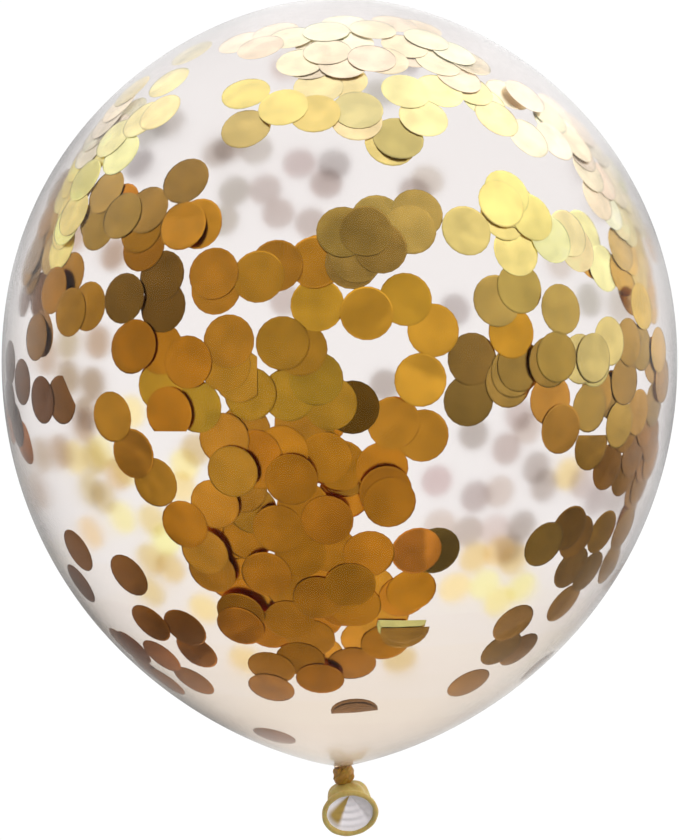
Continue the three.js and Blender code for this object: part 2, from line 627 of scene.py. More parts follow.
@dataclass(frozen=True)
class LatexFilm:
    """The film of the body: an outer and an inner wall, flat where the balloon rests on the table."""

    shape: BodyShape
    thickness: float = 0.15
    lift: float = 0.1
    sides: int = 192
    shoulder_steps: int = 90
    crown_steps: int = 80
    pleats: int = 11
    pleat_depth: float = 0.16
    pleat_reach: float = 14.0
    warm_start: float = -60.0
    warm_bands: int = 7

    def wall(self, inset: float) -> tuple[Array, Array, Array]:
        """Rings and end tips of one wall.

        The profile is moved in by the inset and turned round the axis. Near the neck the radius is
        rippled by a cosine of the angle that dies away up the shoulder, and nothing goes below the table.
        """
        profile = self.shape.profile(self.shoulder_steps, self.crown_steps)
        slope = np.gradient(profile, axis=0)
        outward = unit(np.stack([slope[:, 1], -slope[:, 0]], axis=1))
        moved = profile - outward * inset
        tip = moved[-1]
        rings = moved[:-1]
        turn = turns(self.sides)
        height = rings[:, 1] + self.shape.shoulder_length
        fade = 1 - smooth(height, 0, self.pleat_reach)
        fade = fade * smooth(rings[:, 0] / self.shape.neck_radius, 0.9, 2)
        radius = rings[:, :1] + self.pleat_depth * fade[:, None] * np.cos(self.pleats * turn)[None, :]
        lean = self.shape.lean_shift(rings[:, 1:])
        x = radius * np.sin(turn) + lean
        z = self.shape.axis_height + radius * np.cos(turn)
        y = np.broadcast_to(rings[:, 1:], x.shape)
        corners = np.stack([x, y, np.maximum(z, self.lift + inset)], axis=-1)
        start = np.array([[lean[0, 0], rings[0, 1], self.shape.axis_height]])
        end = np.array([[0, tip[1], self.shape.axis_height]])
        return corners, start, end

    def bands(self, clear: ClearLatex, thick: ClearLatex) -> list[ClearLatex]:
        """Finishes from the clear film to the less stretched, warmer one at the neck, in even steps."""
        ends = [np.array([int(f.tint[i : i + 2], 16) for i in (1, 3, 5)]) for f in (clear, thick)]
        mixes = [ends[0] + (ends[1] - ends[0]) * k / self.warm_bands for k in range(self.warm_bands + 1)]
        tints = ["#" + "".join(f"{round(part):02x}" for part in mix) for mix in mixes]
        return [
            ClearLatex(f"{clear.name}_{k}" if k else clear.name, tint, clear.roughness, clear.index)
            for k, tint in enumerate(tints)
        ]

    def build(self, clear: ClearLatex, thick: ClearLatex) -> bpy.types.Object:
        """Makes the two walls as one piece, and gives each band of faces its own clear finish."""
        walls = [capped(*self.wall(0.0)), capped(*self.wall(self.thickness), inward=True)]
        finishes = [finish.material() for finish in self.bands(clear, thick)]
        piece = mesh_piece("latex_film", walls, *finishes)
        middles = np.zeros(len(piece.data.polygons) * 3)
        piece.data.polygons.foreach_get("center", middles)
        station = middles[1::3] / MM
        band = smooth(self.warm_start - station, 0, self.shape.shoulder_length + self.warm_start)
        numbers = np.round(band * self.warm_bands).astype(np.int32)
        piece.data.polygons.foreach_set("material_index", numbers)
        piece.visible_shadow = False
        return piece


@dataclass(frozen=True)
class TiedEnd:
    """The knot below the neck and the bent tail with its rolled mouth."""

    shape: BodyShape
    knot_length: float = 9.3
    core_radius: float = 4.7
    wrap_radius: float = 3.6
    wrap_tube: float = 1.9
    wrap_slant: float = math.radians(28)
    tail_length: float = 15.5
    tail_bend: float = math.radians(66)
    rim_radius: float = 11.85
    bead_radius: float = 1.25
    collar_radius: float = 8.3
    collar_station: float = 3.2
    wall: float = 0.6
    lining_depth: float = 3.2
    lining_wall: float = 0.3
    pucker: tuple[float, float] = (1.4, 7.6)
    fold_height: float = 1.1
    neck_gap: float = 0.45
    sides: int = 96
    core_rings: int = 60
    core_end: float = 0.06
    wrap_steps: tuple[int, int] = (120, 40)
    cup_steps: int = 40
    lining_rings: int = 56
    bead_steps: tuple[int, int] = (160, 20)
    neck_rings: int = 12

    @property
    def knot_station(self) -> float:
        """Where the middle of the knot is along the axis."""
        return -self.shape.shoulder_length - self.shape.neck_fillet - self.knot_length / 2 + 1

    @property
    def tail_station(self) -> float:
        """Where the tail leaves the knot."""
        return self.knot_station - self.knot_length / 2 + 1

    @property
    def arc_radius(self) -> float:
        """Radius of the tail's bent centre line."""
        return self.tail_length / self.tail_bend

    def leaned(self, points: Array) -> Array:
        """Points round the axis turned towards +X about the lean station, and raised to the axis."""
        turn, station = self.shape.lean, self.shape.lean_station
        x, y = points[..., 0], points[..., 1] - station
        cos, sin = math.cos(turn), math.sin(turn)
        z = points[..., 2] + self.shape.axis_height
        return np.stack([x * cos - y * sin, x * sin + y * cos + station, z], axis=-1)

    def bent(self, points: Array) -> Array:
        """Points along -Y bent upwards on the tail's arc: the way along becomes an angle."""
        turn = -points[..., 1] / self.arc_radius
        offset = points[..., 2] - self.arc_radius
        y = offset * np.sin(turn) + self.tail_station
        return np.stack([points[..., 0], y, offset * np.cos(turn) + self.arc_radius], axis=-1)

    def knot_core(self) -> Shell:
        """An egg with slanting folds: the radius is rippled by a cosine that twists along the length."""
        along = np.linspace(self.core_end, math.pi - self.core_end, self.core_rings)[:, None]
        turn = turns(self.sides)[None, :]
        folds = 1 + 0.1 * np.cos(5 * turn + 3.2 * along) + 0.05 * np.cos(9 * turn - 2.5 * along)
        radius = self.core_radius * np.sin(along) ** 0.8 * folds
        y = self.knot_station + np.cos(along) * self.knot_length / 2 + 0 * turn
        rings = np.stack([radius * np.sin(turn), y, radius * np.cos(turn)], axis=-1)
        tips = [[0, self.knot_station + side * self.knot_length / 2, 0] for side in (1, -1)]
        return self.leaned_shell(rings, np.array([tips[0]]), np.array([tips[1]]))

    def leaned_shell(self, rings: Array, start: Array, end: Array) -> Shell:
        """A capped shell with its corners leaned into place."""
        return capped(self.leaned(rings), self.leaned(start), self.leaned(end))

    def knot_wrap(self) -> Shell:
        """The turn of latex round the knot: a ring tube, slanted, whose thickness and creases vary."""
        ring = turns(self.wrap_steps[0])[:, None]
        tube = turns(self.wrap_steps[1])[None, :]
        thick = self.wrap_tube * (1 + 0.16 * np.cos(ring * 2 + 0.6))
        thick = thick * (1 + 0.13 * np.cos(4 * tube + 3 * ring) + 0.05 * np.cos(7 * tube - 5 * ring))
        across = self.wrap_radius + thick * np.cos(tube)
        x = across * np.sin(ring)
        z = across * np.cos(ring)
        y = thick * np.sin(tube) * 1.15
        cos, sin = math.cos(self.wrap_slant), math.sin(self.wrap_slant)
        points = np.stack([x * cos - y * sin, x * sin + y * cos + self.knot_station, z], axis=-1)
        return looped(self.leaned(points))

    def cup_outline(self, steps: int) -> Array:
        """Outer radius of the tail along its length, from the knot over the collar to the mouth."""
        handles = [
            (0.75 * self.shape.neck_radius, 0.0),
            (self.collar_radius * 1.35, self.collar_station * 0.5),
            (self.collar_radius * 1.05, 0.45 * self.tail_length),
            (self.rim_radius + self.wall / 2, self.tail_length),
        ]
        return bezier(handles, steps)

    def cup(self) -> Shell:
        """The wall of the tail: out along the outline, over the lip, and back up a wall's thickness in.

        Gathers ripple the outside by a cosine of the angle, and fade towards the mouth.
        """
        turn = turns(self.sides)[None, :]
        outline = self.cup_outline(self.cup_steps)
        radius, along = outline[:, :1], outline[:, 1:]
        share = along / self.tail_length
        gathers = 1 + 0.1 * (1 - share) ** 1.5 * np.cos(7 * turn + 2 * share) + 0.02 * np.cos(3 * turn + 1)
        outer = self.ring_points(radius * gathers, along + 0 * turn, turn)
        inner_radius = np.clip(radius - self.wall, 0.3, None)[::-1]
        inner_along = (along + 2 * self.wall * (1 - share))[::-1]
        inner = self.ring_points(inner_radius * gathers[::-1], inner_along + 0 * turn, turn)
        start = self.bent(np.array([[0.0, 0.0, 0.0]]))
        end = self.bent(np.array([[0.0, -2 * self.wall, 0.0]]))
        return self.leaned_shell(self.bent(np.concatenate([outer, inner])), start, end)

    def mouth(self, across: Array, up: Array, out: Array) -> Array:
        """Points from the mouth's own plane: across it, up it towards the knot, and out of the mouth."""
        cos, sin = math.cos(self.tail_bend), math.sin(self.tail_bend)
        y = self.tail_station - self.arc_radius * sin + up * sin - out * cos
        z = self.arc_radius * (1 - cos) + up * cos + out * sin
        return self.leaned(np.stack([across + 0 * y, y, z], axis=-1))

    def lining(self) -> tuple[Array, list, Array]:
        """The thin crumpled film that fills the mouth, gathered to a pucker near the knot.

        Rings shrink from the rim to the pucker along straight lines. The film sinks towards the pucker
        by a power of the way in, ripples in arcs round the pucker by a sine of the distance from it,
        and is pleated by a cosine of the angle round it. One pleat on the left stands up as a fold.

        Returns:
            The corners, the faces and how much each corner belongs to the doubled fold, from 0 to 1.
        """
        turn = turns(self.sides)[None, :]
        way = np.linspace(1, 0.015, self.lining_rings)[:, None]
        rim = self.rim_radius - 0.5 * self.bead_radius
        across = self.pucker[0] + way * (rim * np.sin(turn) - self.pucker[0])
        up = self.pucker[1] + way * (rim * np.cos(turn) - self.pucker[1])
        far = np.hypot(across - self.pucker[0], up - self.pucker[1])
        side = np.arctan2(across - self.pucker[0], self.pucker[1] - up)
        free = smooth(1 - way, 0.02, 0.25)
        ripples = 0.3 * np.sin(far * 1.7 + 0.5 * np.cos(3 * side)) * free * smooth(far, 1, 6)
        ripples = ripples * (1 - smooth(np.abs(side), 0.4, 0.9))
        pleats = 0.25 * np.cos(7 * side + 0.4) * free * (1 - way) ** 0.3 * way
        crease = -0.7 * np.exp(-(((side - 0.42) / 0.09) ** 2)) * free * way
        fold = smooth(side, -1.3, -0.95) * (1 - smooth(side, -0.6, -0.4)) * free
        out = -self.lining_depth * (1 - way**1.7) + ripples + pleats + crease
        out = out + self.fold_height * fold * way
        top = self.mouth(across, up, out)
        low = self.mouth(across, up, out - self.lining_wall)
        shell = np.concatenate([low[::-1], top])
        sunk = np.array([[-self.lining_depth - self.lining_wall], [-self.lining_depth]])
        tips = self.mouth(np.full((2, 1), self.pucker[0]), np.full((2, 1), self.pucker[1]), sunk)
        corners, blocks = capped(shell, tips[0], tips[1])
        both = np.concatenate([fold[::-1].ravel(), fold.ravel(), [0.0, 0.0]])
        return corners, blocks, both

    @staticmethod
    def ring_points(radius: Array, along: Array, turn: Array) -> Array:
        """Points round the tail's straight centre line, which runs towards -Y."""
        return np.stack([radius * np.sin(turn), -along + 0 * turn, radius * np.cos(turn)], axis=-1)

    def bead(self) -> Shell:
        """The rolled bead of the mouth: a ring tube, a little uneven where the roll overlaps itself."""
        ring = turns(self.bead_steps[0])[:, None]
        tube = turns(self.bead_steps[1])[None, :]
        thick = self.bead_radius * (1 + 0.06 * np.cos(3 * ring + 0.5) + 0.04 * np.cos(11 * ring))
        across = self.rim_radius + thick * np.cos(tube)
        wave = 0.25 * np.cos(2 * ring + 1.0)
        rim = np.stack([across * np.sin(ring), thick * np.sin(tube) + wave, across * np.cos(ring)], axis=-1)
        return looped(self.mouth(rim[..., 0], rim[..., 2], -rim[..., 1]))

    def neck(self) -> Shell:
        """The gathered neck above the knot: a fluted tube that widens upwards inside the film."""
        turn = turns(self.sides)[None, :]
        start = -self.shape.shoulder_length + 0.6
        station = np.linspace(start, self.knot_station, self.neck_rings)[:, None]
        high = smooth(station, -self.shape.shoulder_length - 2, -self.shape.shoulder_length + 1)
        radius = (self.shape.neck_radius - self.neck_gap + 0.5 * high) * (1 + 0.07 * np.cos(9 * turn))
        rings = np.stack([radius * np.sin(turn), station + 0 * turn, radius * np.cos(turn)], axis=-1)
        rings[0] *= [0.6, 1, 0.6]
        ends = [np.array([[0.0, station[i, 0], 0.0]]) for i in (0, -1)]
        return self.leaned_shell(rings, ends[0], ends[1])

    def build_neck(self, finish: ClearLatex) -> bpy.types.Object:
        """Makes the gathered neck as a piece."""
        return mesh_piece("gathered_neck", [self.neck()], finish.material())

    def build_knot(self, finish: GatheredLatex) -> bpy.types.Object:
        """Makes the core and the turn round it as one piece."""
        return mesh_piece("overhand_knot", [self.knot_core(), self.knot_wrap()], finish.material())

    def build_tail(self, finish: GatheredLatex) -> bpy.types.Object:
        """Makes the cup and its rolled bead as one piece."""
        return mesh_piece("rolled_tail", [self.cup(), self.bead()], finish.material())

    def build_lining(self, finish: MouthLining) -> bpy.types.Object:
        """Makes the crumpled film in the mouth, and writes where it is doubled."""
        corners, blocks, fold = self.lining()
        piece = mesh_piece("mouth_lining", [(corners, blocks)], finish.material())
        layer = piece.data.attributes.new("doubled", "FLOAT", "POINT")
        layer.data.foreach_set("value", fold.astype(np.float32))
        return piece


@dataclass(frozen=True)
class Drift:
    """Discs that cling together, listed from the film inwards by the pixels of their centres.

    The shade scales the tint's colour as painted light and shade: darker where the drift's foil
    mirrors dark surroundings, lighter where it mirrors bright ones.
    """

    name: str
    centres: tuple[Pixel, ...]
    tint: Tint = Tint.AMBER
    wall: Wall = Wall.NEAR
    form: Form = Form.FLAT
    heading: float = -1.0
    # painted light and shade of the whole drift: below 1 darkens its tint, above 1 lightens it
    shade: float = 1.0


# The tints and shades of these drifts hold painted light and shade: pale at the crown and the upper right,
# brown towards the left and bottom edges.
NEAR_DRIFTS = (
    Drift(
        "crown haze", ((326, 30), (373, 28), (427, 38), (454, 51), (260, 46), (290, 36), (191, 52)),
        Tint.CREAM,
    ),
    Drift(
        "crown haze, rear", ((345, 22), (395, 22), (420, 26), (275, 30), (240, 40), (470, 60)), Tint.CREAM
    ),
    Drift(
        "crown cap", ((327, 50), (372, 57), (385, 59), (405, 44), (439, 60), (343, 62), (300, 60)),
        Tint.CREAM,
    ),
    Drift("crown cap, rear", ((350, 40), (318, 40), (410, 52), (432, 45), (460, 75), (310, 62)), Tint.CREAM),
    Drift("upper arc, left", ((245, 91), (283, 106), (315, 112)), Tint.LEMON, shade=0.92),
    Drift("upper arc, middle", ((318, 84), (343, 77), (358, 108), (357, 119)), Tint.PALE),
    Drift(
        "upper arc, right", ((406, 90), (441, 88), (424, 116), (472, 86), (499, 115), (486, 98)), Tint.PALE
    ),
    Drift("upper arc, dark ends", ((245, 127), (399, 136)), Tint.LEMON, shade=0.62),
    Drift("under the dark end", ((391, 141),), Tint.LEMON, shade=0.95),
    Drift(
        "upper right trail", ((531, 135), (558, 138), (526, 95), (552, 112), (580, 140), (555, 120)),
        Tint.CREAM,
    ),
    Drift(
        "upper right, rear", ((572, 128), (585, 148), (560, 105), (585, 125), (600, 145), (510, 90)),
        Tint.CREAM,
    ),
    Drift(
        "right edge, top", ((594, 168), (608, 176), (621, 184), (604, 195), (616, 205), (612, 160)),
        Tint.CREAM,
    ),
    Drift(
        "right edge, pale", ((622, 170), (630, 190), (638, 205), (626, 215), (634, 222), (645, 215)),
        Tint.PALE,
    ),
    Drift(
        "right edge, tan", ((629, 245), (637, 250), (643, 306), (648, 268), (645, 235), (650, 250)),
        Tint.OLIVE, shade=0.8,
    ),
    Drift(
        "right edge, rear", ((632, 270), (640, 290), (655, 262), (660, 285), (662, 300), (657, 240)),
        Tint.MOSS, shade=0.7,
    ),
    Drift("right edge, sliver", ((660, 350), (664, 380), (640, 225)), Tint.MOSS, shade=0.79),
    Drift(
        "crown edge, left", ((168, 81), (159, 111), (131, 90), (141, 118), (112, 137), (119, 153)), Tint.PALE
    ),
    Drift(
        "crown edge, rear", ((118, 105), (106, 120), (96, 132), (88, 148), (110, 130), (126, 112)),
        Tint.CREAM,
    ),
    Drift(
        "left edge, lemon", ((84, 179), (72, 213), (66, 222), (92, 158), (101, 135), (78, 160)),
        Tint.LEMON, shade=1.1,
    ),
    Drift(
        "left edge, strip", ((78, 185), (70, 175), (66, 205), (62, 190), (60, 225), (56, 245)), Tint.LEMON
    ),
    Drift(
        "left edge, tan", ((104, 190), (69, 178), (57, 207), (47, 250), (80, 150), (60, 190)),
        Tint.MOSS, shade=0.58,
    ),
    Drift(
        "left edge, far", ((41, 215), (28, 250), (34, 235), (50, 232), (52, 185), (22, 262)),
        Tint.UMBER, shade=0.42,
    ),
    Drift(
        "left edge, low", ((48, 205), (42, 222), (36, 240), (30, 255), (24, 270), (35, 337)),
        Tint.AMBER, shade=0.27,
    ),
    Drift("olive pair", ((185, 180), (121, 215), (146, 209)), Tint.MOSS, shade=0.39),
    Drift("brown edge disc", ((97, 226), (94, 215)), Tint.MOSS, shade=0.39),
    Drift("scrap", ((117, 204),), Tint.ORANGE, shade=0.52),
    Drift("amber pair", ((182, 225), (197, 222)), Tint.AMBER, form=Form.CREASED, heading=90, shade=0.7),
    Drift("under the olives", ((140, 228), (142, 246)), Tint.AMBER, shade=0.39),
    Drift("umber trio", ((160, 275), (123, 298), (161, 306)), Tint.UMBER, shade=0.24),
    Drift("below the trio", ((134, 345), (130, 348)), Tint.ORANGE, shade=0.52),
    Drift("left cluster", ((69, 312), (87, 306), (52, 290), (64, 274), (39, 333)), Tint.AMBER, shade=0.45),
    Drift(
        "left slivers", ((16, 293), (30, 292), (21, 382), (9, 363), (9, 400), (15, 425)),
        Tint.CHESTNUT, shade=0.17,
    ),
    Drift("left pair", ((41, 400),), Tint.CHESTNUT, shade=0.16),
    Drift("slanted disc", ((60, 400),), Tint.CHESTNUT, form=Form.FOLDED_TIP, heading=207, shade=0.3),
    Drift("amber chain", ((213, 273), (258, 276), (276, 265), (215, 288)), Tint.AMBER, shade=0.6),
    Drift(
        "brown stack", ((366, 230), (343, 231), (381, 247), (357, 256), (352, 262)), Tint.MOSS, shade=0.44
    ),
    Drift("stack, right", ((411, 228), (418, 212), (378, 218)), Tint.OLIVE, shade=0.5),
    Drift("stack, left", ((315, 261), (320, 259)), Tint.AMBER, shade=0.72),
    Drift("amber row", ((317, 304), (367, 313), (406, 299), (434, 330)), Tint.GOLD, shade=0.76),
    Drift("lone gold", ((421, 380),), Tint.GOLD, form=Form.CREASED, heading=70, shade=0.95),
    Drift(
        "bright group", ((502, 203), (508, 192), (533, 216), (517, 204), (505, 215)), Tint.LEMON, shade=0.95
    ),
    Drift("beside the group", ((467, 230),), Tint.LEMON, shade=0.74),
    Drift(
        "bright trail", ((553, 238), (613, 265), (570, 232), (579, 247), (592, 228), (594, 232)),
        Tint.PALE, shade=1.1,
    ),
    Drift("behind the trail", ((601, 252),), Tint.UMBER, shade=0.7),
    Drift("striped disc", ((518, 250),), Tint.LEMON, form=Form.CREASED, heading=10),
    Drift("right olives", ((522, 287), (499, 300), (562, 309)), Tint.OLIVE, shade=0.6),
    Drift("right ambers", ((514, 332),), Tint.GOLD, shade=0.74),
    Drift("right stack", ((558, 357), (551, 362), (523, 366), (517, 372), (512, 382)), Tint.MOSS, shade=0.5),
    Drift("right pair", ((475, 359), (472, 401)), Tint.MOSS, shade=0.3),
    Drift("right column", ((562, 429), (552, 400)), Tint.UMBER, shade=0.62),
    Drift("right yellows", ((595, 358), (611, 341), (582, 359), (596, 362)), Tint.LEMON, shade=0.8),
    Drift("right tans", ((631, 342), (643, 347), (627, 381), (592, 408), (600, 393)), Tint.MOSS, shade=0.5),
    Drift(
        "right tans, rear", ((622, 425), (615, 395), (641, 413), (657, 404), (655, 360)),
        Tint.MOSS, shade=0.58,
    ),
    Drift(
        "right tans, low", ((650, 425), (629, 430), (637, 455), (655, 440), (648, 430), (655, 460)),
        Tint.AMBER, shade=0.56,
    ),
    Drift("notched brown", ((594, 447),), Tint.UMBER, form=Form.FOLDED_EDGE, heading=270, shade=0.4),
    Drift(
        "right low", ((611, 468), (628, 475), (650, 462), (645, 485), (641, 440), (640, 490)),
        Tint.AMBER, shade=0.53,
    ),
    Drift("left column", ((187, 362), (158, 348)), Tint.ORANGE, shade=0.68),
    Drift("straight bottom", ((168, 413),), Tint.ORANGE, form=Form.FOLDED_TIP, heading=90, shade=0.71),
    Drift("left column, olive", ((158, 386), (195, 407)), Tint.GOLD, shade=0.68),
    Drift("left column, big", ((228, 341), (224, 365)), Tint.AMBER, shade=0.66),
    Drift("notched disc", ((238, 376),), Tint.GOLD, form=Form.FOLDED_TIP, heading=180, shade=0.6),
    Drift(
        "heap top", ((282, 343), (249, 394), (300, 349), (316, 379), (288, 395), (330, 404)),
        Tint.GOLD, shade=0.54,
    ),
    Drift("heap, dark", ((353, 408),), Tint.AMBER, shade=0.2),
    Drift("heap, right", ((395, 424), (425, 437)), Tint.AMBER, shade=0.7),
    Drift("left chain", ((111, 417), (132, 454), (154, 483)), Tint.AMBER, shade=0.7),
    Drift("left chain, end", ((184, 525),), Tint.ORANGE, shade=0.72),
    Drift(
        "heap, left side", ((232, 472), (214, 505), (222, 440), (204, 553), (211, 572)),
        Tint.AMBER, shade=0.68,
    ),
    Drift(
        "heap front", ((291, 480), (390, 503), (386, 492), (327, 521), (350, 586), (318, 599)),
        Tint.ORANGE, shade=0.56,
    ),
    Drift(
        "heap front, low", ((266, 575), (289, 622), (240, 627), (240, 614), (278, 530), (369, 555)),
        Tint.ORANGE, shade=0.63,
    ),
    Drift(
        "heap fans", ((254, 457), (258, 465), (281, 453), (383, 470), (325, 460), (340, 468)),
        Tint.ORANGE, shade=0.7,
    ),
    Drift("two tone disc", ((417, 552),), Tint.CHESTNUT, form=Form.CREASED, heading=0, shade=0.88),
    Drift("two tone, rear", ((436, 552),), Tint.MOSS, shade=0.3),
    Drift("heap, low right", ((412, 592), (404, 598)), Tint.ORANGE, shade=0.82),
    Drift("folded half", ((407, 627),), Tint.UMBER, form=Form.FOLDED_HALF, heading=270, shade=0.5),
    Drift("behind the half", ((404, 620),), Tint.LEMON, form=Form.FOLDED_HALF, heading=268),
    Drift("heap, low rear", ((356, 608), (386, 646)), Tint.ORANGE, shade=0.7),
    Drift("heap foot", ((271, 689), (271, 669), (320, 680), (300, 661), (352, 668)), Tint.ORANGE, shade=0.5),
    Drift("loose half", ((355, 715),), Tint.ORANGE, form=Form.FOLDED_HALF, heading=95, shade=0.26),
    Drift("low disc", ((274, 737),), Tint.CHESTNUT, shade=0.34),
    Drift(
        "heap, under", ((243, 432), (300, 425), (310, 445), (345, 474), (240, 490), (250, 512)),
        Tint.AMBER, shade=0.54,
    ),
    Drift(
        "heap, deep", ((300, 555), (330, 550), (245, 540), (290, 590), (345, 608), (310, 640)),
        Tint.ORANGE, shade=0.65,
    ),
    Drift(
        "heap, fill", ((228, 540), (230, 562), (316, 573), (317, 621), (268, 632), (228, 585)),
        Tint.ORANGE, shade=0.85,
    ),
    Drift(
        "heap, deeper", ((255, 612), (370, 590), (385, 620), (366, 642), (318, 657), (252, 600)),
        Tint.AMBER, shade=0.98,
    ),
    Drift(
        "heap, bottom", ((303, 507), (345, 498), (320, 420), (270, 620), (375, 640)), Tint.ORANGE, shade=0.76
    ),
    Drift("left browns", ((77, 551), (80, 584), (128, 576)), Tint.CHESTNUT, shade=0.4),
    Drift(
        "left browns, low", ((150, 624), (184, 629), (195, 653), (161, 657), (193, 682)),
        Tint.CHESTNUT, shade=0.55,
    ),
    Drift(
        "left limb", ((133, 648), (124, 645), (166, 682), (148, 670), (22, 443), (9, 423)),
        Tint.CHESTNUT, shade=0.6,
    ),
    Drift(
        "right browns", ((545, 545), (570, 529), (578, 538), (573, 569), (590, 573)), Tint.UMBER, shade=0.48
    ),
    Drift(
        "right browns, edge", ((604, 533), (624, 530), (612, 565), (566, 605), (632, 518), (618, 575)),
        Tint.UMBER, shade=0.64,
    ),
    Drift(
        "right browns, low", ((514, 624), (502, 650), (520, 651), (469, 684), (538, 667)),
        Tint.UMBER, shade=0.36,
    ),
)

# Their pale tints are painted haze and painted reflection: the veil of light that the near film lays over
# the far wall, and straw where golden light is mirrored.
FAR_DRIFTS = (
    Drift(
        "far, crown", ((288, 66), (402, 61), (381, 92), (169, 123), (138, 163), (218, 152)),
        Tint.GREY, Wall.FAR,
    ),
    Drift(
        "far, upper", ((229, 147), (256, 149), (299, 163), (234, 191), (265, 189), (223, 220)),
        Tint.GREY, Wall.FAR,
    ),
    Drift(
        "far, rosy", ((334, 164), (326, 183), (278, 213), (311, 223), (428, 180), (415, 192)),
        Tint.GREY, Wall.FAR,
    ),
    Drift(
        "far, left", ((67, 342), (97, 342), (45, 357), (67, 378), (92, 384), (84, 414)), Tint.MAUVE, Wall.FAR
    ),
    Drift(
        "far, left low", ((75, 235), (113, 254), (83, 425), (60, 452), (40, 455), (37, 492)),
        Tint.MAUVE, Wall.FAR,
    ),
    Drift(
        "far, left tan", ((93, 458), (117, 474), (90, 490), (90, 533), (195, 450), (102, 498)),
        Tint.TAN, Wall.FAR,
    ),
    Drift(
        "far, straw", ((74, 458), (100, 452), (121, 518), (184, 465), (152, 520), (170, 568)),
        Tint.STRAW, Wall.FAR,
    ),
    Drift(
        "far, straw low", ((131, 412), (125, 470), (165, 540), (150, 560), (181, 488), (150, 592)),
        Tint.STRAW, Wall.FAR,
    ),
    Drift(
        "far, right", ((474, 434), (507, 449), (528, 428), (537, 468), (545, 486), (476, 497)),
        Tint.GREY, Wall.FAR,
    ),
    Drift(
        "far, right low", ((500, 492), (495, 530), (522, 527), (468, 532), (597, 500)), Tint.GREY, Wall.FAR
    ),
    Drift(
        "far, right tan", ((583, 482), (437, 481), (440, 525), (618, 500), (510, 550)), Tint.GREY, Wall.FAR
    ),
    Drift(
        "far, right straw", ((569, 474), (475, 558), (500, 552), (515, 560), (485, 585)),
        Tint.STRAW, Wall.FAR,
    ),
    Drift(
        "far, middle", ((285, 300), (385, 385), (590, 300), (560, 262), (455, 310), (520, 415)),
        Tint.GREY, Wall.FAR,
    ),
    Drift(
        "far, foot", ((455, 588), (522, 588), (500, 602), (204, 609), (245, 660), (400, 660)),
        Tint.STRAW, Wall.FAR,
    ),
    Drift("far, edge", ((585, 170), (600, 205), (620, 305), (640, 320), (150, 130)), Tint.GREY, Wall.FAR),
)


